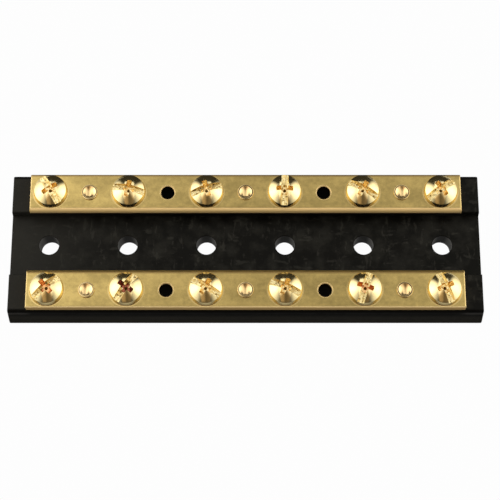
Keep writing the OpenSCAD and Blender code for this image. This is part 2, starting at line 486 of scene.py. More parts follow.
screw_finish = turned_brass("bright_brass", colour=(0.93, 0.74, 0.36), roughness=0.16)
rivet_finish = turned_brass("formed_brass", colour=(0.85, 0.64, 0.3), roughness=0.24, shade_lined=True)
dish_finish = turned_brass("pressed_brass", colour=(0.95, 0.67, 0.31), roughness=0.21)
print("finishes:", screw_finish.name, rivet_finish.name, dish_finish.name)

# %% [markdown]
# ### Drawn brass
# The bars are drawn flat stock, dulled by handling, with fine lines along their length. A narrow ring round
# each head is a painted reflection of the head in the bar, clearest in front of it. The rings could be
# pieces of their own, but as masks on place they keep to the screws' pitch and leave the mesh plain.

# %% Paint the flat of the bars
DRAWN_LINES = {"scale": 2600.0, "detail": 4.0, "roughness": 0.6, "stretch": (0.04, 1.0, 1.0)}
BAR_MOTTLE = 0.34
FLAT_BRASS = (0.545, 0.396, 0.134)
HEAD_REFLECTION_BRASS = (0.66, 0.48, 0.19)
HEAD_REFLECTION_W = 0.4 * MM
HEAD_REFLECTION_BACK = 2 * MM
HEAD_REFLECTION_FRONT = -1 * MM
HEAD_REFLECTION_FAINT = 0.2


def bar_flat(board, where, along, across):
    """Mottled brass with a painted reflection ring round each screw, clearest in front of it."""
    # Painted reflection of each head in the bar: a brighter ring of brass, faint behind the head.
    head_reflection = slope(board, distance(along, across), head_r + HEAD_REFLECTION_W, head_r + HEAD_REFLECTION_W / 2)
    head_reflection = head_reflection * slope(board, across, HEAD_REFLECTION_BACK, HEAD_REFLECTION_FRONT, low=HEAD_REFLECTION_FAINT)
    return mix(board, head_reflection, brass_tone(board, where, FLAT_BRASS, BAR_MOTTLE), opaque(HEAD_REFLECTION_BRASS))


print(f"rings {HEAD_REFLECTION_W / MM:.1f} mm wide round heads of {2 * head_r / MM:.1f} mm")

# %% [markdown]
# Below the flat top the metal is rougher, and its colour is painted light and shade: a painted highlight
# where it faces the front, a darker painted tone on the front bar's front face, and brown painted shade
# where it faces the rear and along the rear edge. The rims of the empty holes carry a painted highlight,
# and their bores painted shade. The top edge at the very front is made less metallic, so that its brass
# colour shows as a painted highlight.

# %% Paint the edges and holes of the bars
EDGE_HIGHLIGHT_BRASS = (0.9, 0.69, 0.34)
SIDE_SHADE_BRASS = (0.66, 0.46, 0.2)
REAR_SHADE_BRASS = (0.3, 0.2, 0.07)
BORE_SHADE = (0.02, 0.012, 0.005)
WEAR_AND_LIGHT_START = 0.025 * MM
WEAR_AND_LIGHT_END = 0.085 * MM
BROWN_END = 5 * WEAR_AND_LIGHT_END
UPRIGHT_FACING = (-0.85, -1.0)
REAR_SHADE_W = 0.75 * MM
BORE_R = 1.7 * MM
HOLE_BREAK = 0.2 * MM
RIM_SHARE = 0.6
LIP_W = 0.45 * MM
LIP_EDGE = 0.2 * MM
LIP_LOW = 0.28 * MM
LIP_TOP = 0.14 * MM
LIP_HIGHLIGHT = 0.8


def bar_edges(board, tone, y, z, edge, facing_y, to_rear):
    """Painted light and shade on the edges by the way they face, and painted shade along the rear edge."""
    upright = slope(board, facing_y, *UPRIGHT_FACING) * (y < 0)
    # Painted light and shade: bright on the edges, darker on the front bar's front face.
    tone = mix(board, edge, tone, mix(board, upright, opaque(EDGE_HIGHLIGHT_BRASS), opaque(SIDE_SHADE_BRASS)))
    # Painted shade: brown along the rear edge and on faces turned to the rear.
    rear_edge_shade = slope(board, y, bar_high.y - REAR_SHADE_W, bar_high.y - REAR_SHADE_W / 2)
    low_down = slope(board, z, seat_z - WEAR_AND_LIGHT_END, seat_z - BROWN_END)
    shade = mix(board, low_down, opaque(REAR_SHADE_BRASS), opaque(FLAT_BRASS))
    return mix(board, rear_edge_shade.math("MAXIMUM", rear_edge_shade, to_rear), tone, shade)


def bar_holes(board, tone, x, z, across):
    """Painted highlights on the rims and painted shade in the bores of the holes between the screws. Gives
    the rims' mask as well.
    """
    along = x.math("PINGPONG", x - first_gap_x, pitch / 2)
    nudge = (gap_y["front"] + gap_y["rear"]) / 2
    from_hole = distance(along, across - nudge)
    deep = slope(board, z, seat_z - HOLE_BREAK, seat_z - 2 * HOLE_BREAK)
    off_rim = from_hole - (BORE_R + HOLE_BREAK / 2)
    rim = slope(board, abs(off_rim), HOLE_BREAK, HOLE_BREAK / 2)
    # Painted highlight on the rims of the empty holes.
    tone = mix(board, rim * RIM_SHARE, tone, opaque(EDGE_HIGHLIGHT_BRASS))
    # Painted shade inside the bores.
    return mix(board, (from_hole < BORE_R) * deep, tone, opaque(BORE_SHADE)), rim


def dull_lip(board, y, z):
    """Mask of the top edge at the very front, for its painted highlight."""
    in_front = slope(board, y, LIP_W - bar_high.y, LIP_EDGE - bar_high.y)
    return in_front * slope(board, z, seat_z - LIP_LOW, seat_z - LIP_TOP)


print(f"edges worn over {(WEAR_AND_LIGHT_END - WEAR_AND_LIGHT_START) / MM:.2f} mm, hole rims {2 * HOLE_BREAK / MM:.1f} mm wide")

# %% Paint the bars
REAR_FACING = (0.02, 0.1)
BAR_ROUGHNESS = 0.24
LINES_DULL = 0.12
EDGE_DULL = 0.46
REAR_GLOSS = 0.24
RIM_DULL = 0.4
BAR_RELIEF = 0.004 * MM


def drawn_brass():
    """The whole finish of the bars."""
    material, board = new_finish("satin_brass")
    where = own_axes(board)
    x, y, z = board.split(where)
    facing_y = board.split(own_axes(board, "Normal"))[1]
    along = x.math("PINGPONG", x - first_screw_x, pitch / 2)
    across = y - y.math("SIGN", y) * row_y
    edge = slope(board, z, seat_z - WEAR_AND_LIGHT_START, seat_z - WEAR_AND_LIGHT_END)
    to_rear = slope(board, facing_y, *REAR_FACING)
    lines = noise(board, where, **DRAWN_LINES)
    tone = bar_flat(board, where, along, across)
    tone = bar_edges(board, tone, y, z, edge, facing_y, to_rear)
    tone, rim = bar_holes(board, tone, x, z, across)
    worn = edge * (EDGE_DULL - to_rear * REAR_GLOSS) + rim * (1 - edge) * RIM_DULL
    close_finish(
        board,
        Base_Color=tone,
        # Painted highlight: less metal at the very front of the top edge lets the brass colour show bright.
        Metallic=1 - dull_lip(board, y, z) * LIP_HIGHLIGHT,
        Roughness=BAR_ROUGHNESS + (lines - 0.5) * LINES_DULL + worn,
        Normal=bump(board, lines, BAR_RELIEF),
    )
    return material


bar_finish = drawn_brass()
print("finish:", bar_finish.name)

# %% [markdown]
# ### Cut and punched brass
# The drive of a screw is raw metal. The saw leaves torn lines along the slot, so that pattern has to
# turn with the slot: the screw's tree stores each point's place on its own screw as an attribute,
# and the finish reads that. Light and dark metal, and a few dark specks, lie along the lines. Three
# recesses in the front row are stained, two of them ruddy and one dark.

# %% Paint the cut brass
CUT_LINES = {"scale": 2400.0, "detail": 3.0, "roughness": 0.7}
CHIPS = {"scale": 1700.0, "detail": 2.0, "roughness": 0.6}
LINE_RANGE = (0.4, 0.6)
CHIP_RANGE = (0.55, 0.67)
CHIP_DULL = 0.3
CUT_RELIEF = 0.06 * MM
SAWN = (0.3, 1.0, 1.0)
PIT_SHADE_BROWN = (0.13, 0.085, 0.025)
PIT_TOP = seat_z + 0.56 * MM
PIT_LOW = seat_z + 0.44 * MM


def cut_brass(name, light, dark, speck, roughness, stretch=None):
    """Raw brass with light and dark lines, dark specks, and painted shade in the pit."""
    material, board = new_finish(name)
    own = own_place(board)
    lines = noise(board, own, stretch=stretch, **CUT_LINES)
    chips = noise(board, own, **CHIPS)
    tone = mix(board, mask(board, lines, *LINE_RANGE), opaque(light), opaque(dark))
    tone = mix(board, mask(board, chips, *CHIP_RANGE), tone, opaque(speck))
    height = board.split(own_axes(board))[2]
    # Painted shade: the floor of the recess and the pit are painted dark brown.
    tone = mix(board, slope(board, height, PIT_TOP, PIT_LOW), tone, opaque(PIT_SHADE_BROWN))
    close_finish(
        board,
        Base_Color=tone,
        Metallic=1.0,
        Roughness=roughness + (chips - 0.5) * CHIP_DULL,
        Normal=bump(board, lines + chips, CUT_RELIEF),
    )
    return material


slot_finish = cut_brass(
    "sawn_brass", light=(1.0, 0.85, 0.44), dark=(0.72, 0.5, 0.17), speck=(0.16, 0.09, 0.02),
    roughness=0.3, stretch=SAWN,
)
recess_finish = cut_brass(
    "punched_brass", light=(1.0, 0.86, 0.46), dark=(0.95, 0.64, 0.25), speck=(0.6, 0.33, 0.1),
    roughness=0.25,
)
dirty_finish = cut_brass(
    "worn_brass", light=(0.5, 0.17, 0.09), dark=(0.26, 0.07, 0.05), speck=(0.12, 0.04, 0.03),
    roughness=0.35,
)
ruddy_finish = cut_brass(
    "ruddy_brass", light=(0.95, 0.62, 0.27), dark=(0.8, 0.36, 0.15), speck=(0.4, 0.13, 0.07),
    roughness=0.3,
)
print("finishes:", slot_finish.name, recess_finish.name, dirty_finish.name, ruddy_finish.name)

# %% [markdown]
# ## Geometry trees that make plain meshes
# A tree is built once with named inputs, and each piece sets its own values on a modifier. The
# result is copied out as a plain mesh, so nothing live is left behind on the finished piece.

# %% Build and run geometry trees
SOCKET_TYPES = {
    "float": "NodeSocketFloat",
    "int": "NodeSocketInt",
    "Vector": "NodeSocketVector",
    "Material": "NodeSocketMaterial",
}


class GeometryBoard(Board):
    """A geometry tree whose inputs have names and starting values."""

    def __init__(self, name, sizes):
        super().__init__(bpy.data.node_groups.new(name, "GeometryNodeTree"))
        face = self.tree.interface
        face.new_socket("Mesh", in_out="OUTPUT", socket_type="NodeSocketGeometry")
        self.keys = {}
        for label, start in sizes.items():
            kind = SOCKET_TYPES[type(start).__name__]
            socket = face.new_socket(label, in_out="INPUT", socket_type=kind)
            socket.default_value = start
            self.keys[label] = socket.identifier
        self.source = self.tree.nodes.new("NodeGroupInput")

    def size(self, label):
        """A wire from one of the tree's inputs."""
        return Wire(self, pick(self.source.outputs, label))

    def place(self):
        """X, Y and Z of each point."""
        return self.split(self.add("GeometryNodeInputPosition"))

    def grow(self, name, **values):
        """A new plain mesh made by the tree, with some inputs changed."""
        piece = bpy.data.objects.new(name, bpy.data.meshes.new(name))
        bpy.context.scene.collection.objects.link(piece)
        modifier = piece.modifiers.new(name, "NODES")
        modifier.node_group = self.tree
        for label, value in values.items():
            modifier[self.keys[label]] = value
        return settle(piece)


print("geometry trees take", ", ".join(SOCKET_TYPES), "inputs")


# %% Finish a mesh
def settle(piece):
    """Keep what the modifiers make as the piece's own mesh, and remove them."""
    bpy.context.view_layer.update()
    evaluated = piece.evaluated_get(bpy.context.evaluated_depsgraph_get())
    made = bpy.data.meshes.new_from_object(evaluated)
    piece.modifiers.clear()
    piece.data = made
    return piece


def soften(piece, angle):
    """Smooth shading that breaks where faces meet at more than this angle, in degrees."""
    piece.data.shade_smooth()
    piece.data.set_sharp_from_angle(angle=math.radians(angle))
    return piece


print("finished pieces keep no modifiers")

# %% [markdown]
# ### A lathe
# Screws, rivets and drills are all turned shapes. An outline in the X-Z plane is a short list of
# corners, some of them rounded, and the lathe node chain wraps a grid round Z so that each of its
# rows takes the radius and height of one point of the outline. The seam and the poles are merged.

# %% Draw an outline
FILLET_STEPS = 3


def by_number(board, index, data_type, values):
    """The value from the list that has each point's number."""
    items = {"Index": index}
    items.update({f"Item_{i}": value for i, value in enumerate(values)})
    settings = {"data_type": data_type, "item_count": len(values)}
    return board.add("GeometryNodeIndexSwitch", settings, items)


def move_points(board, shape, **values):
    """A mesh or curve with its points put at a Position, or moved by an Offset."""
    return board.add("GeometryNodeSetPosition", None, {"Geometry": shape, **values})


def outline(board, corners, cap=None, cap_steps=0):
    """A curve through corners of (radius, height, rounding), then over a round cap.
    cap is (radius, height in the middle, drop from there to its edge), and a dish has a drop under 0."""
    count = len(corners)
    index = board.add("GeometryNodeInputIndex")
    place = by_number(board, index, "VECTOR", [board.vector(r, 0.0, z) for r, z, _ in corners])
    if cap:
        cap_r, middle_z, drop = cap
        share = 1 - (index - (count - 1)) / cap_steps
        arc = board.vector(cap_r * share, 0.0, middle_z - drop * share * share)
        choice = {"Switch": index > count - 0.5, "False": place, "True": arc}
        place = board.add("GeometryNodeSwitch", {"input_type": "VECTOR"}, choice)
    line = board.add("GeometryNodeCurvePrimitiveLine")
    points = {"Curve": line, "Count": count + cap_steps}
    curve = board.add("GeometryNodeResampleCurve", {"mode": "COUNT"}, points)
    curve = move_points(board, curve, Position=place)
    rounding = by_number(board, index, "FLOAT", [corner[2] for corner in corners])
    values = {"Curve": curve, "Count": FILLET_STEPS, "Radius": rounding, "Limit Radius": True}
    return board.add("GeometryNodeFilletCurve", {"mode": "POLY"}, values)


print(f"rounded corners take {FILLET_STEPS} steps")

# %% Turn it on the lathe
MERGE = 0.001 * MM
TURN = 2 * math.pi


def lathe(board, curve, segments):
    """The closed surface that an outline, drawn from bottom to top, sweeps round Z."""
    points = board.add("GeometryNodeCurveToPoints", {"mode": "EVALUATED"}, {"Curve": curve})
    rows = board.add(
        "GeometryNodeAttributeDomainSize", {"component": "POINTCLOUD"}, {"Geometry": points}, "Point Count"
    )
    grid = board.add("GeometryNodeMeshGrid", None, {"Vertices X": segments + 1, "Vertices Y": rows})
    index = board.add("GeometryNodeInputIndex")
    share = index / rows
    column = share.math("FLOOR", share)
    position = board.add("GeometryNodeInputPosition")
    sample = {"Geometry": points, "Value": position, "Index": index - column * rows}
    spot = board.add("GeometryNodeSampleIndex", {"data_type": "FLOAT_VECTOR"}, sample)
    radius, _, height = board.split(spot)
    angle = column * (TURN / segments)
    x = radius * angle.math("COSINE", angle)
    y = radius * angle.math("SINE", angle)
    turned = move_points(board, grid, Position=board.vector(x, y, height))
    return board.add("GeometryNodeMergeByDistance", None, {"Geometry": turned, "Distance": MERGE})


print("lathe ready")

# %% [markdown]
# ## Terminal screws
# A pan-head screw with a combination drive: a full slot crossed by a tapered cross recess, and a
# rolled thread below the head. Twelve screws could be copies of one, but each slot stands at its own
# angle with its own saw marks, so one tree makes each from its inputs. The thread is a triangle wave
# that climbs one pitch in each turn, pressed into a turned shank.

# %% Roll the thread
SHANK_R = 2.05 * MM
SHANK_L = seat_z - screw_low.z
THREAD_PITCH = 0.79 * MM
THREAD_DEPTH = 0.42 * MM
ROWS_PER_THREAD = 8
NEAR = 0.01 * MM


def thread_rows(board, curve):
    """A screw's outline with enough points along its shank for the thread."""
    x, _, z = board.place()
    long_run = x.math("COMPARE", x, SHANK_R, NEAR) * (z < -SHANK_L / 2)
    cuts = long_run * round(SHANK_L / THREAD_PITCH * ROWS_PER_THREAD)
    return board.add("GeometryNodeSubdivideCurve", None, {"Curve": curve, "Cuts": cuts})


def roll_thread(board, mesh):
    """Press a triangular thread into the shank of a turned mesh."""
    x, y, z = board.place()
    reach = distance(x, y)
    turn = x.math("ARCTAN2", y, x) / TURN
    climb = z / THREAD_PITCH - turn
    groove = climb.math("PINGPONG", climb, 0.5) * 2 * THREAD_DEPTH
    on_shank = reach.math("COMPARE", reach, SHANK_R, NEAR)
    scale = 1 - on_shank * groove / SHANK_R
    return move_points(board, mesh, Position=board.vector(x * scale, y * scale, z))


print(f"thread: {SHANK_L / THREAD_PITCH:.1f} turns of {THREAD_PITCH / MM:.2f} mm")

# %% [markdown]
# ### The drive
# A real slot is sawn and a real recess is punched, so each is made here as the tool that cuts it, and
# Boolean nodes take the tools out of the head. The block that cuts the slot carries the saw's lines on
# its underside, and two tapered bars inside a cone make the cross.

# %% Shape the saw
HEAD_H = 2.85 * MM
SAW_L = 4 * head_r
SAW_LINES = 8
SAW_STEPS = 41
SAW_SCALE = 3600.0
SAW_DETAIL = 1.0
SAW_DRAW = 0.3
SAW_RELIEF = 0.16 * MM


def join_meshes(board, operation, meshes, first=None):
    """Union, intersection or difference of closed meshes."""
    values = {"Mesh 2": meshes}
    if first:
        values["Mesh 1"] = first
    return board.add("GeometryNodeMeshBoolean", {"operation": operation, "solver": "MANIFOLD"}, values)


def shift(board, mesh, translation, rotation=(0.0, 0.0, 0.0)):
    """A mesh turned and then moved."""
    values = {"Geometry": mesh, "Translation": translation, "Rotation": rotation}
    return board.add("GeometryNodeTransform", None, values)


def sawn_block(board, width):
    """Cutter for a slot along X. The saw's lines run along its underside, differently on each screw."""
    size = board.vector(SAW_L, width, 2 * HEAD_H)
    grid = {"Size": size, "Vertices X": SAW_STEPS, "Vertices Y": SAW_LINES, "Vertices Z": 2}
    block = board.add("GeometryNodeMeshCube", None, grid)
    x, y, z = board.place()
    spot = board.vector(x * SAW_DRAW, y, board.size("Slot angle") * SAW_DRAW)
    mark = (noise(board, spot, SAW_SCALE, SAW_DETAIL) - 0.5) * 2 * SAW_RELIEF
    return move_points(board, block, Offset=board.vector(0.0, 0.0, mark * (z < 0)))


print(f"saw: {SAW_LINES} lines across the slot")

# %% Shape the punch
RECESS_FLOOR_R = 1.0 * MM
RECESS_DEPTH = 2.3 * MM
RECESS_FLOOR_Z = HEAD_H - RECESS_DEPTH
RECESS_SEGMENTS = 48
WING_L = 6 * RECESS_FLOOR_R + 4 * head_r
WING_W = 1.25 * MM
WING_FLOOR_W = 0.85 * MM
PIT_R = 0.5 * MM
PIT_TIP_R = 0.02 * MM
PIT_DEPTH = 0.35 * MM
PIT_SINK = 0.9 * PIT_DEPTH
PIT_SEGMENTS = 24
CUT = 1.0 * MM


def wing(board, turn):
    """One bar of the cross, narrower at its floor than at the crown."""
    height = RECESS_DEPTH + CUT
    block = board.add("GeometryNodeMeshCube", None, {"Size": (WING_L, WING_W, height)})
    block = shift(board, block, (0.0, 0.0, height / 2))
    x, y, z = board.place()
    lean = (WING_W - WING_FLOOR_W) / WING_W / RECESS_DEPTH
    narrow = WING_FLOOR_W / WING_W + z * lean
    block = move_points(board, block, Position=board.vector(x, y * narrow, z))
    return shift(board, block, (0.0, 0.0, RECESS_FLOOR_Z), (0.0, 0.0, turn))


def cone(board, vertices, low_r, top_r, depth, z):
    """A cone frustum that stands at this height."""
    values = {"Vertices": vertices, "Radius Bottom": low_r, "Radius Top": top_r, "Depth": depth}
    return shift(board, board.add("GeometryNodeMeshCone", None, values), (0.0, 0.0, z))


def drive_tools(board, slot_w, slot_depth, recess_r):
    """What is cut out of a head: the slot, the cross recess and the pit under it."""
    slot = shift(board, sawn_block(board, slot_w), board.vector(0.0, 0.0, 2 * HEAD_H - slot_depth))
    taper = (recess_r - RECESS_FLOOR_R) / RECESS_DEPTH
    top_r = recess_r + taper * CUT
    punch = cone(board, RECESS_SEGMENTS, RECESS_FLOOR_R, top_r, RECESS_DEPTH + CUT, RECESS_FLOOR_Z)
    wings = [wing(board, turn) for turn in (0.0, TURN / 4)]
    cross = join_meshes(board, "INTERSECT", [punch, join_meshes(board, "UNION", wings)])
    pit = cone(board, PIT_SEGMENTS, PIT_TIP_R, PIT_R, PIT_DEPTH, RECESS_FLOOR_Z - PIT_SINK)
    return [slot, cross, pit]


print(f"drive: recess {RECESS_DEPTH / MM:.1f} mm deep with a pit {2 * PIT_R / MM:.1f} mm wide")

# %% [markdown]
# ### The whole screw
# The tree turns the blank, rolls its thread and cuts the drive. A face that ends up inside the blank's
# own surface was cut, so the same formula as the dome's tells which faces take the finish of the saw
# and which take that of the punch.

# %% Turn the blank
RIM_H = 0.35 * MM
CROWN_R = 3.85 * MM
CROWN_Z = 1.3 * MM
DOME_RISE = HEAD_H - CROWN_Z
DOME_STEPS = 20
TIP = 0.5 * MM
TIP_SOFT = 0.1 * MM
NECK_SOFT = 0.12 * MM
SEAT_SOFT = 0.08 * MM
RIM_SOFT = 0.2 * MM
CROWN_SOFT = 0.06 * MM
SCREW_SEGMENTS = 96


def screw_blank(board):
    """A screw before its drive is cut."""
    corners = [
        (0.0, -SHANK_L, 0.0), (SHANK_R - TIP, -SHANK_L, TIP_SOFT), (SHANK_R, TIP - SHANK_L, 0.0),
        (SHANK_R, 0.0, NECK_SOFT), (head_r, 0.0, SEAT_SOFT), (head_r, RIM_H, RIM_SOFT),
        (CROWN_R, CROWN_Z, CROWN_SOFT),
    ]
    curve = outline(board, corners, (CROWN_R, HEAD_H, DOME_RISE), DOME_STEPS)
    return roll_thread(board, lathe(board, thread_rows(board, curve), SCREW_SEGMENTS))


print(f"blank: head {2 * head_r / MM:.1f} x {HEAD_H / MM:.2f} mm on a shank of {SHANK_L / MM:.2f} mm")

# %% Screw tree
SLOT_W = 1.7 * MM
SLOT_DEPTH = 1.8 * MM
RECESS_R = 2.35 * MM
SKIN = 0.03 * MM
CUT_LOWEST = 0.1 * MM


def coat(board, mesh, label, **values):
    """A mesh with the finish of this input, all over or where it is selected."""
    values = {"Geometry": mesh, "Material": board.size(label), **values}
    return board.add("GeometryNodeSetMaterial", None, values)


def keep_place(board, mesh, place):
    """A mesh that remembers each point's place for its finish."""
    settings = {"data_type": "FLOAT_VECTOR", "domain": "POINT"}
    values = {"Geometry": mesh, "Name": OWN_PLACE, "Value": place}
    return board.add("GeometryNodeStoreNamedAttribute", settings, values)


def screw_tree():
    """A terminal screw, seated at Place with its slot turned by Slot angle."""
    board = GeometryBoard("terminal screw", {
        "Place": Vector((0.0, 0.0, 0.0)),
        "Slot angle": 0.0,
        "Slot width": SLOT_W,
        "Slot depth": SLOT_DEPTH,
        "Recess radius": RECESS_R,
        "Finish": screw_finish,
        "Cut finish": slot_finish,
        "Recess finish": recess_finish,
    })
    slot_angle, slot_w, slot_depth = (board.size(f"Slot {part}") for part in ("angle", "width", "depth"))
    tools = drive_tools(board, slot_w, slot_depth, board.size("Recess radius"))
    screw = join_meshes(board, "DIFFERENCE", tools, screw_blank(board))
    screw = board.add("GeometryNodeRealizeInstances", None, {"Geometry": screw})
    x, y, z = board.place()
    from_axis = x * x + y * y
    side_r = head_r - (z - RIM_H) * ((head_r - CROWN_R) / (CROWN_Z - RIM_H)) - SKIN
    in_dome = z < HEAD_H - SKIN - from_axis * (DOME_RISE / CROWN_R ** 2)
    inside = in_dome * (from_axis < side_r * side_r) * (z > CUT_LOWEST)
    beside_slot = abs(y) > slot_w / 2 + SKIN
    under_slot = z < HEAD_H - slot_depth - SAW_RELIEF
    punched = inside * beside_slot.math("MAXIMUM", beside_slot, under_slot)
    screw = coat(board, screw, "Finish")
    screw = coat(board, screw, "Cut finish", Selection=inside)
    screw = coat(board, screw, "Recess finish", Selection=punched)
    screw = keep_place(board, screw, board.vector(x, y, z + slot_angle * head_r))
    screw = shift(board, screw, board.size("Place"), board.vector(0.0, 0.0, slot_angle))
    board.add("NodeGroupOutput", None, {"Mesh": screw})
    return board


terminal_screw = screw_tree()
print(f"{terminal_screw.tree.name}: {len(terminal_screw.tree.nodes)} nodes")

# %% [markdown]
# The slots stand as the last driver left them, so each screw has its own angle, in degrees. Three
# recesses of the front row are stained.

# %% Turn the screws
SLOT_ANGLES = {
    "front": (42, 55, 150, 157, 72, 113),
    "rear": (123, 169, 17, 88, 151, 35),
}
STAINED = {"front_screw_1": ruddy_finish, "front_screw_2": dirty_finish, "front_screw_5": ruddy_finish}
TURNED_ANGLE = 30

for row in ROWS:
    for way in range(WAYS):
        node = f"{row}_screw_{way + 1}"
        place = (first_screw_x + way * pitch, SIDE[row] * row_y, seat_z)
        values = {"Place": place, "Slot angle": math.radians(SLOT_ANGLES[row][way])}
        if node in STAINED:
            values["Recess finish"] = STAINED[node]
        screw = soften(terminal_screw.grow(f"{row}_terminal_screw_{way + 1}", **values), TURNED_ANGLE)
        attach(screw, node)
        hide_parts(node)
print(f"{2 * WAYS} screws, {len(screw.data.polygons)} faces each")

# %% [markdown]
# ## Rivets
# Brass rivets hold each bar to its rail. Seen from above, one is a low ring round the dish that the
# punch left, and its other end is formed over in a recess under the base. All six ride with the base,
# so they are one mesh: the tree turns one rivet and stands copies of it along both rows.

# %% Turn a rivet
RIVET_R = 1.575 * MM
RIVET_HEAD_R = 2.025 * MM
RIVET_HEAD_H = rivet_high.z - seat_z
RIVET_RIM_SOFT = 0.25 * MM
DISH_R = 1.525 * MM
DISH_DEPTH = 0.42 * MM
DISH_SOFT = 0.06 * MM
DISH_STEPS = 12
RIVET_SEGMENTS = 64
FOOT_R = (rivet_high.x - rivet_low.x) / 2
FOOT_H = 0.9 * MM
FOOT_LOW = rivet_low.z - seat_z
FOOT_TOP = FOOT_LOW + FOOT_H
FOOT_SOFT = 0.25 * MM


def turned_rivet(board):
    """One rivet on the axis, which remembers its points' places."""
    corners = [
        (0.0, FOOT_LOW, 0.0), (FOOT_R, FOOT_LOW, FOOT_SOFT), (FOOT_R, FOOT_TOP, FOOT_SOFT),
        (RIVET_R, FOOT_TOP, 0.0), (RIVET_R, 0.0, 0.0), (RIVET_HEAD_R, 0.0, 0.0),
        (RIVET_HEAD_R, RIVET_HEAD_H, RIVET_RIM_SOFT), (DISH_R, RIVET_HEAD_H, DISH_SOFT),
    ]
    dish = (DISH_R, RIVET_HEAD_H - DISH_DEPTH, -DISH_DEPTH)
    rivet = lathe(board, outline(board, corners, dish, DISH_STEPS), RIVET_SEGMENTS)
    return keep_place(board, rivet, board.add("GeometryNodeInputPosition"))


print(f"rivet: head {2 * RIVET_HEAD_R / MM:.2f} mm, foot {2 * FOOT_R / MM:.2f} mm across")

# %% Rivet tree
rivet_step = 2 * pitch


def row_of_points(board, start):
    """Points along X from start, as many as Count and Step apart."""
    step = board.vector(board.size("Step"), 0.0, 0.0)
    line = {"Count": board.size("Count"), "Start Location": start, "Offset": step}
    return board.add("GeometryNodeMeshLine", None, line)


def stand_copies(board, points, shape):
    """A real copy of the shape on every point."""
    copies = board.add("GeometryNodeInstanceOnPoints", None, {"Points": points, "Instance": shape})
    return board.add("GeometryNodeRealizeInstances", None, {"Geometry": copies})


def rivet_tree():
    """Both rows of rivets, with their dishes in a finish of their own."""
    board = GeometryBoard("rivet rows", {
        "Count": RIVETS,
        "First": first_gap_x,
        "Step": rivet_step,
        "Front row": gap_y["front"],
        "Rear row": gap_y["rear"],
        "Seat": seat_z,
        "Finish": rivet_finish,
        "Dish finish": dish_finish,
    })
    rows = []
    for label in ("Front row", "Rear row"):
        start = board.vector(board.size("First"), board.size(label), board.size("Seat"))
        rows.append(row_of_points(board, start))
    points = board.add("GeometryNodeJoinGeometry", None, {"Geometry": rows})
    copies = stand_copies(board, points, turned_rivet(board))
    own = board.add("GeometryNodeInputNamedAttribute", {"data_type": "FLOAT_VECTOR"}, {"Name": OWN_PLACE})
    x, y, z = board.split(own)
    in_dish = (x * x + y * y < DISH_R * DISH_R) * (z > -DISH_DEPTH)
    copies = coat(board, copies, "Finish")
    copies = coat(board, copies, "Dish finish", Selection=in_dish)
    board.add("NodeGroupOutput", None, {"Mesh": copies})
    return board


rivets = soften(rivet_tree().grow("rivets"), TURNED_ANGLE)
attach(rivets, "block")
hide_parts(*[f"{row}_rivet_{i + 1}" for row in ROWS for i in range(RIVETS)])
print(f"rivets: {len(rivets.data.polygons)} faces")

# %% [markdown]
# ## Drills
# The holes in the bars and the base come in rows too. A drill is a turned cutter with an optional
# counterbore below and a broken edge above, and its tree stands a row of them where they are needed.
# The cutters are taken out of a piece by Boolean modifiers and then removed.

# %% Drill tree
DRILL_SEGMENTS = 64


def drill_tree():
    """A row of cutters along X from First."""
    board = GeometryBoard("drill row", {
        "Count": 1,
        "First": Vector((0.0, 0.0, 0.0)),
        "Step": pitch,
        "Radius": SHANK_R,
        "Low": 0.0,
        "High": rail_top,
        "Break": 0.0,
        "Bore radius": SHANK_R,
        "Bore top": rail_top / 2,
    })
    radius, low, high, edge = (board.size(label) for label in ("Radius", "Low", "High", "Break"))
    bore_r, bore_top = (board.size(label) for label in ("Bore radius", "Bore top"))
    wide = radius + edge
    sides = [
        (0.0, low), (bore_r, low), (bore_r, bore_top), (radius, bore_top),
        (radius, high - edge), (wide, high), (wide, high + CUT), (0.0, high + CUT),
    ]
    drill = lathe(board, outline(board, [(r, z, 0.0) for r, z in sides]), DRILL_SEGMENTS)
    row = stand_copies(board, row_of_points(board, board.size("First")), drill)
    board.add("NodeGroupOutput", None, {"Mesh": row})
    return board


drill = drill_tree()
print(f"{drill.tree.name}: {len(drill.tree.nodes)} nodes")

# %% Drill a piece
FLATS_ANGLE = 35
FLATS_WEIGHT = 100


def drill_row(count, x, y, step, radius, low, high, edge=0.0, bore=None):
    """A row of cutters along X. bore is (radius, top) of a counterbore, if there is one."""
    bore_r, bore_top = bore or (radius, (low + high) / 2)
    return drill.grow(
        "drill", Count=count, First=(x, y, 0.0), Step=step, Radius=radius, Low=low, High=high,
        **{"Break": edge, "Bore radius": bore_r, "Bore top": bore_top},
    )


def drilled(piece, cutters):
    """The piece with every cutter taken out of it, shaded so that flats stay flat."""
    for cutter in cutters:
        modifier = piece.modifiers.new("drill", "BOOLEAN")
        modifier.object = cutter
        modifier.operation = "DIFFERENCE"
        modifier.solver = "MANIFOLD"
    settle(piece)
    for cutter in cutters:
        bpy.data.objects.remove(cutter)
    soften(piece, FLATS_ANGLE)
    normals = piece.modifiers.new("flats", "WEIGHTED_NORMAL")
    normals.keep_sharp = True
    normals.weight = FLATS_WEIGHT
    return settle(piece)


print("drilled pieces keep edges sharper than", FLATS_ANGLE, "degrees")

# %% [markdown]
# ## Long pieces with soft edges
# The bars and the base keep one section along their length. A scaled cube with one bevel would give all
# edges the same radius, so a section is a short list of corners, and each corner gives the radius of
# its long edge and of the end edge that follows it. The radii become bevel weights, so one Bevel
# modifier rounds every edge by its own amount.

# %% Sweep a section along X
EDGE_SEGMENTS = 5


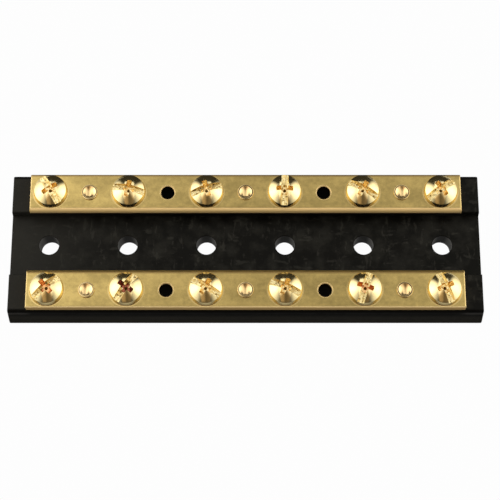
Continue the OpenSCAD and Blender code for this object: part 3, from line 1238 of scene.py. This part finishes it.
def section_mesh(name, section, half_length, widest):
    """A plain bar through the corners of a section, with the radii as shares of the widest."""
    bm = bmesh.new()
    weights = bm.edges.layers.float.new("bevel_weight_edge")
    ends = []
    for side in (-1, 1):
        ends.append([bm.verts.new((side * half_length(z), y, z)) for y, z, _, _ in section])
    count = len(section)
    for i, (_, _, long_r, end_r) in enumerate(section):
        after = (i + 1) % count
        bm.faces.new((ends[0][i], ends[0][after], ends[1][after], ends[1][i]))
        bm.edges.get((ends[0][i], ends[1][i]))[weights] = long_r / widest
        for end in ends:
            bm.edges.get((end[i], end[after]))[weights] = end_r / widest
    bm.faces.new(ends[1])
    bm.faces.new(ends[0][::-1])
    bmesh.ops.recalc_face_normals(bm, faces=bm.faces)
    mesh = bpy.data.meshes.new(name)
    bm.to_mesh(mesh)
    bm.free()
    return mesh


def swept(name, section, half_length, finish):
    """A bar along X through corners of (y, z, long edge radius, end edge radius).
    half_length gives half its length at a height."""
    widest = max(max(corner[2:]) for corner in section)
    mesh = section_mesh(name, section, half_length, widest)
    mesh.materials.append(finish)
    piece = bpy.data.objects.new(name, mesh)
    bpy.context.scene.collection.objects.link(piece)
    bevel = piece.modifiers.new("edges", "BEVEL")
    bevel.limit_method = "WEIGHT"
    bevel.width = widest
    bevel.segments = EDGE_SEGMENTS
    return settle(piece)


print(f"swept edges take {EDGE_SEGMENTS} segments")

# %% [markdown]
# ## Bus bars
# Flat brass stock, sheared to length and drilled. The long edge towards the channel is fully round,
# and it stands a little over the channel. Screws and rivets fill most of the holes, and two on each
# bar were left empty.

# %% Make the bars
BAR_INNER_R = 1.15 * MM
BAR_OUTER_R = 0.35 * MM
BAR_FINE_R = 0.12 * MM
THREAD_HOLE_R = 2.1 * MM
THREAD_HOLE_BREAK = 0.1 * MM
RIVET_HOLE_R = 1.655 * MM
OPEN_HOLES = WAYS - 1 - RIVETS
first_open_x = first_gap_x + pitch


def bus_bar(row):
    """One bar, in its row."""
    low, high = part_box(f"{row}_bus_bar")
    inner, outer = (low.y, high.y) if row == "rear" else (high.y, low.y)
    section = [
        (outer, low.z, BAR_FINE_R, BAR_FINE_R), (inner, low.z, BAR_INNER_R, BAR_FINE_R),
        (inner, high.z, BAR_INNER_R, BAR_OUTER_R), (outer, high.z, BAR_OUTER_R, BAR_FINE_R),
    ]
    bar = swept(f"{row}_bar", section, lambda z: high.x, bar_finish)
    under = low.z - CUT
    y = SIDE[row] * row_y
    gap = gap_y[row]
    bar = drilled(bar, [
        drill_row(WAYS, first_screw_x, y, pitch, THREAD_HOLE_R, under, high.z, THREAD_HOLE_BREAK),
        drill_row(RIVETS, first_gap_x, gap, rivet_step, RIVET_HOLE_R, under, high.z),
        drill_row(OPEN_HOLES, first_open_x, gap, rivet_step, RIVET_HOLE_R, under, high.z, HOLE_BREAK),
    ])
    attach(bar, "block")
    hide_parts(f"{row}_bus_bar")
    print(f"{bar.name}: {len(bar.data.polygons)} faces")


for row in ROWS:
    bus_bar(row)

# %% [markdown]
# ## Moulded base
# One black moulding: two rails with a channel between them, walls that lean out a little towards the
# foot, and rounded outer edges. The channel floor has the mounting holes. Blind holes under the bars
# clear the screws, and each rivet place has a recess underneath. It is swept and drilled as the bars
# are, with a length that grows towards the foot.

# %% Make the base
CHANNEL_HALF = 7.94 * MM
RAIL_W = 9.53 * MM
RAIL_EDGE_R = 0.8 * MM
INNER_EDGE_R = 0.3 * MM
FOOT_EDGE_R = 0.2 * MM
END_EDGE_R = 0.3 * MM
CORNER_R = 0.4 * MM
MOUNT_BREAK = 0.15 * MM
SHANK_HOLE_R = 2.35 * MM
SHANK_ROOM = 0.8 * MM
SHANK_HOLE_Z = seat_z - SHANK_L - SHANK_ROOM
FOOT_ROOM = 0.5 * MM
FOOT_RECESS = (FOOT_R + FOOT_ROOM, rivet_low.z + FOOT_H)

rail_out = CHANNEL_HALF + RAIL_W
foot_out = base_high.y


def base_half_length(z):
    """Half the length of the base at a height, with the same lean as its long sides."""
    return base_high.x - (foot_out - rail_out) * z / rail_top


def moulded_base():
    """The base with all its holes."""
    section = [
        (-foot_out, 0.0, FOOT_EDGE_R, END_EDGE_R), (foot_out, 0.0, FOOT_EDGE_R, CORNER_R),
        (rail_out, rail_top, RAIL_EDGE_R, END_EDGE_R), (CHANNEL_HALF, rail_top, INNER_EDGE_R, 0.0),
        (CHANNEL_HALF, floor_z, 0.0, END_EDGE_R), (-CHANNEL_HALF, floor_z, 0.0, 0.0),
        (-CHANNEL_HALF, rail_top, INNER_EDGE_R, END_EDGE_R), (-rail_out, rail_top, RAIL_EDGE_R, CORNER_R),
    ]
    base = swept("base_moulding", section, base_half_length, base_finish)
    cutters = [drill_row(WAYS, first_mount_x, mount_y, mount_pitch, mount_r, -CUT, floor_z, MOUNT_BREAK)]
    for row in ROWS:
        y = SIDE[row] * row_y
        gap = gap_y[row]
        through = (RIVET_HOLE_R, -CUT, rail_top)
        cutters += [
            drill_row(WAYS, first_screw_x, y, pitch, SHANK_HOLE_R, SHANK_HOLE_Z, rail_top),
            drill_row(RIVETS, first_gap_x, gap, rivet_step, *through, bore=FOOT_RECESS),
            drill_row(OPEN_HOLES, first_open_x, gap, rivet_step, *through),
        ]
    base = drilled(base, cutters)
    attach(base, "block")
    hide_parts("base")
    print(f"{base.name}: {len(base.data.polygons)} faces")


moulded_base()

# %% [markdown]
# ## Floor
# The photograph is a cut-out on white, so the floor glows evenly and takes no shadow. A lit white floor
# would show one. The empty rivet holes go right through the base, and no light comes in under it, so
# the floor is dark under the rails.

# %% Lay the floor
FLOOR_GAP = 0.02 * MM
FLOOR_SIZE = 8.0
FLOOR_TONE = (0.985, 0.985, 0.985)
SHADE_TONE = (0.01, 0.01, 0.01)
SHADE_HALF_W = 4 * MM


def floor_finish():
    """White all round, and dark under the rails, where no light reaches the empty holes."""
    material, board = new_finish("pale_floor")
    x, y, _ = board.split(own_axes(board))
    under_rail = y.math("COMPARE", abs(y), row_y, SHADE_HALF_W)
    under_block = x.math("COMPARE", x, 0.0, -first_screw_x)
    tone = mix(board, under_rail * under_block, opaque(FLOOR_TONE), opaque(SHADE_TONE))
    glow = board.add("ShaderNodeEmission", None, {"Color": tone, "Strength": 1.0})
    board.add("ShaderNodeOutputMaterial", None, {"Surface": glow})
    return material


def pale_floor():
    """The floor under the block, which reflections don't see."""
    bm = bmesh.new()
    bmesh.ops.create_grid(bm, x_segments=1, y_segments=1, size=FLOOR_SIZE / 2)
    bmesh.ops.translate(bm, verts=bm.verts, vec=(0.0, 0.0, base_low.z - FLOOR_GAP))
    mesh = bpy.data.meshes.new("pale_floor")
    bm.to_mesh(mesh)
    bm.free()
    mesh.materials.append(floor_finish())
    floor = bpy.data.objects.new("pale_floor", mesh)
    bpy.context.scene.collection.objects.link(floor)
    floor.visible_glossy = False


pale_floor()
print(f"floor: {FLOOR_SIZE:.0f} m square")

# %% [markdown]
# ## Light
# Bright metal shows the room it stands in, so the room is built: light panels stand round the block as
# walls and a ceiling, and each panel's glow changes from place to place. A few lamps would leave small
# white dots on the screws instead.

# %% Make a light panel
WHITE = (1.0, 1.0, 1.0)
WARM = (1.0, 0.72, 0.44)


def panel(name, centre, facing, width, height, glow):
    """A flat light that the camera doesn't see. glow gives its radiance, what a mirror would show,
    and its colour from the place on the panel."""
    lamp = bpy.data.lights.new(name, "AREA")
    lamp.shape = "RECTANGLE"
    lamp.size = width
    lamp.size_y = height
    lamp.energy = math.pi * width * height
    lamp.use_nodes = True
    board = Board(lamp.node_tree)
    place = board.split(board.add("ShaderNodeNewGeometry", output="Position"))
    emission = lamp.node_tree.nodes["Emission"]
    strength, colour = glow(board, *place)
    board.plug(emission.inputs["Strength"], strength)
    board.plug(emission.inputs["Color"], colour)
    box = bpy.data.objects.new(name, lamp)
    box.location = centre
    box.rotation_euler = Vector(facing).to_track_quat("-Z", "Y").to_euler()
    box.visible_camera = False
    bpy.context.scene.collection.objects.link(box)


print("panels glow in", WHITE, "and", WARM)

# %% [markdown]
# The side walls make the bright lobes on the screw heads. A dark wedge in the ceiling, above the
# camera, and the open rear keep the front and the back of each dome dark. Each row of numbers is a
# slope: where it starts and ends, in metres from the middle of the block, and the glow at either end.

# %% Let the walls and the ceiling glow
WALL_FRONT = (-0.9, 0.15, 0.06, 1.0)
WALL_REAR = (0.74, 0.32, 0.0, 1.0)
WALL_FOOT = (0.0, 0.2, 0.6, 1.0)
WALL_HEAD = (0.3, 0.76, 1.0, 0.55)
HOT_FRONT = (-0.3, 0.02, 0.0, 1.0)
HOT_REAR = (0.4, 0.06, 0.0, 1.0)
CEILING_GLOW = 0.6
CEILING_LEFT = ((0.0, -0.16, 0.0, 0.85), (-0.16, -0.4, 0.0, 0.3))
CEILING_RIGHT = ((0.02, 0.2, 0.0, 0.4), (0.2, 0.4, 0.0, 0.4))
WEDGE_EDGE = (-0.2, 0.24, 0.0, 1.0)
WEDGE_TAPER = 0.84
WEDGE_TONE = (0.04, -0.12, 0.14, 0.26)


def side_glow(strength):
    """A side wall that dims towards the front, the top and the bottom, and ends softly at the rear."""
    def glow(board, x, y, z):
        front = slope(board, y, *WALL_FRONT)
        middle_band = slope(board, z, *WALL_FOOT) * slope(board, z, *WALL_HEAD)
        hot = slope(board, y, *HOT_FRONT) * slope(board, y, *HOT_REAR)
        rear = slope(board, y, *WALL_REAR)
        return front * middle_band * rear * (strength + hot), opaque(WHITE)
    return glow


def ceiling_glow(board, x, y, z):
    """A ceiling that is brightest at the left, with a dark warm wedge where the camera stands."""
    strength = CEILING_GLOW
    for rise in CEILING_LEFT + CEILING_RIGHT:
        strength = strength + slope(board, x, *rise)
    open_sky = slope(board, abs(x) + y * WEDGE_TAPER, *WEDGE_EDGE)
    wedge = slope(board, x, *WEDGE_TONE)
    strength = strength * (wedge + open_sky * (1 - wedge))
    return strength, mix(board, open_sky, opaque(WARM), opaque(WHITE))


print("the walls dim over", WALL_FRONT[1] - WALL_FRONT[0], "m towards the front")

# %% Let the front and the table glow
FRONT_WALL = (0.1, 0.7, 0.04, 0.1)
TABLE_SHADE = (-0.024, -0.042, 0.12, 0.7)


def front_glow(board, x, y, z):
    """A dim warm wall behind the camera."""
    return slope(board, z, *FRONT_WALL), opaque(WARM)


def ground_glow(board, x, y, z):
    """The table in front of the block, darker where the block stands in its light."""
    return slope(board, y, *TABLE_SHADE), opaque(WHITE)


def even_glow(strength):
    """The same white all over."""
    return lambda board, x, y, z: (strength, opaque(WHITE))


print("the table is shaded up to", -TABLE_SHADE[1], "m in front of the middle")

# %% Build the studio
ROOM_HALF_W = 0.45
ROOM_H = 0.76
ROOM_FRONT = -1.2
WALL_L = 1.9
WALL_Y = -0.25
WALL_GLOW = {"left": 1.75, "right": 1.6}
CEILING_L = 2.5
CEILING_Y = 0.05
TABLE_Z = 0.5 * MM
FRONT_TABLE = (1.0, 0.4)
FRONT_TABLE_Y = -0.22
SIDE_TABLE = (0.4, 0.24)
SIDE_TABLE_X = 0.28
SIDE_TABLE_Y = 0.1
SIDE_TABLE_GLOW = 0.85
HOLE_STRIP_Z = 0.2 * MM
HOLE_STRIP = (110 * MM, 6 * MM)
HOLE_STRIP_GLOW = 0.2
ROOM_GREY = (0.035, 0.033, 0.026)
UP = (0, 0, 1)
DOWN = (0, 0, -1)


def studio():
    """The panels, and a dim sky that the camera sees as white."""
    middle_z = ROOM_H / 2
    for name, side in (("left", -1), ("right", 1)):
        wall = (side * ROOM_HALF_W, WALL_Y, middle_z)
        panel(f"{name}_wall", wall, (-side, 0, 0), WALL_L, ROOM_H, side_glow(WALL_GLOW[name]))
    panel("ceiling", (0.0, CEILING_Y, ROOM_H), DOWN, 2 * ROOM_HALF_W, CEILING_L, ceiling_glow)
    panel("front_wall", (0.0, ROOM_FRONT, middle_z), (0, 1, 0), 2 * ROOM_HALF_W, ROOM_H, front_glow)
    panel("front_ground", (0.0, FRONT_TABLE_Y, TABLE_Z), UP, *FRONT_TABLE, ground_glow)
    panel("hole_ground", (0.0, mount_y, HOLE_STRIP_Z), UP, *HOLE_STRIP, even_glow(HOLE_STRIP_GLOW))
    for name, side in (("left", -1), ("right", 1)):
        table = (side * SIDE_TABLE_X, SIDE_TABLE_Y, TABLE_Z)
        panel(f"{name}_ground", table, UP, *SIDE_TABLE, even_glow(SIDE_TABLE_GLOW))
    world = bpy.data.worlds.new("studio")
    world.use_nodes = True
    board = Board(world.node_tree)
    seen = board.add("ShaderNodeLightPath", output="Is Camera Ray")
    sky = mix(board, seen, opaque(ROOM_GREY), opaque(FLOOR_TONE))
    board.plug(world.node_tree.nodes["Background"].inputs["Color"], sky)
    bpy.context.scene.world = world
    bpy.context.scene.view_settings.view_transform = "Standard"


studio()
print(f"{len(bpy.data.lights)} light panels")

# %% [markdown]
# ## Camera
# The photograph was taken from high in front with a long lens: the far rail is only a little shorter
# than the near one. The focal length in pixels comes from that difference, and a sensor width turns it
# into the millimetres that Blender asks for.

# %% Place the camera
TARGET = Vector((1.07, -1.14, 6.0)) * MM
ELEVATION = math.radians(71.5)
DISTANCE = 0.374
FOCAL_PX = 1532.0
IMAGE_PX = 500.0
SENSOR_MM = 36.0
NEAREST = 0.01


def photograph():
    """A camera in front of the block, raised to the elevation and turned to the target."""
    lens = bpy.data.cameras.new("camera")
    lens.sensor_width = SENSOR_MM
    lens.lens = FOCAL_PX / IMAGE_PX * SENSOR_MM
    lens.clip_start = NEAREST
    camera = bpy.data.objects.new("camera", lens)
    towards = Vector((0.0, -math.cos(ELEVATION), math.sin(ELEVATION)))
    camera.location = TARGET + DISTANCE * towards
    camera.rotation_euler = (TARGET - camera.location).to_track_quat("-Z", "Y").to_euler()
    bpy.context.scene.collection.objects.link(camera)
    bpy.context.scene.camera = camera
    print(f"camera: {lens.lens:.1f} mm lens at {DISTANCE:.3f} m")


photograph()

# %% [markdown]
# ## Close the scene
# The visual model has to keep the size of the construction model.

# %% Update the scene
bpy.context.view_layer.update()
